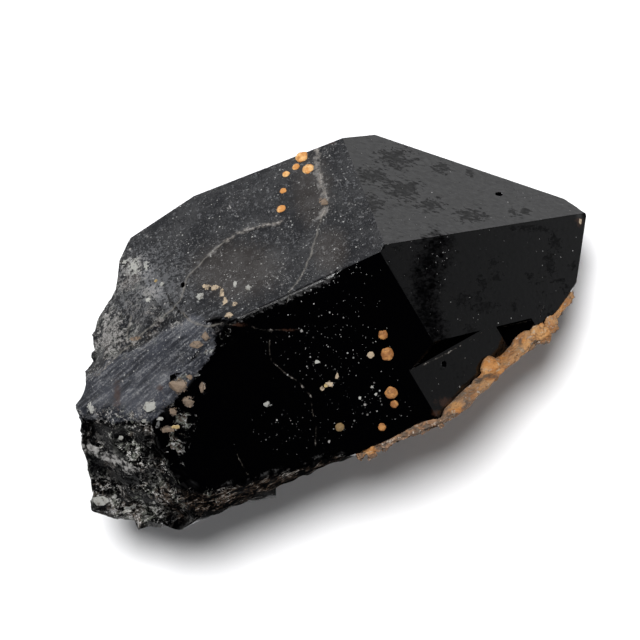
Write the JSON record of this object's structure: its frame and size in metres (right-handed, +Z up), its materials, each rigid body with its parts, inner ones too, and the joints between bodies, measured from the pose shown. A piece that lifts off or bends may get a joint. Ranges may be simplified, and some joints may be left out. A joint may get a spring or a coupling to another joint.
{
  "type": "morion quartz point",
  "caption": "Opaque black quartz crystal lying on one side, with a faceted tip, broken root end, recessed step and an ochre crust along a lower edge.",
  "frame": {"origin": "middle of the underside of the bounding box, on the surface that the crystal rests on", "axes": "+X towards the pointed end along the crystal's length, +Z up"},
  "size_m": [0.1034, 0.0562, 0.0481],
  "materials": {
    "morion": "opaque near-black quartz, glossy flat faces with dull etched patches and a rough pale-flecked break",
    "ochre": "dull granular orange-brown iron oxide crust"
  },
  "bodies": {
    "root": {"quartz_point": "morion", "ochre_crust": "ochre"}
  },
  "joints": []
}
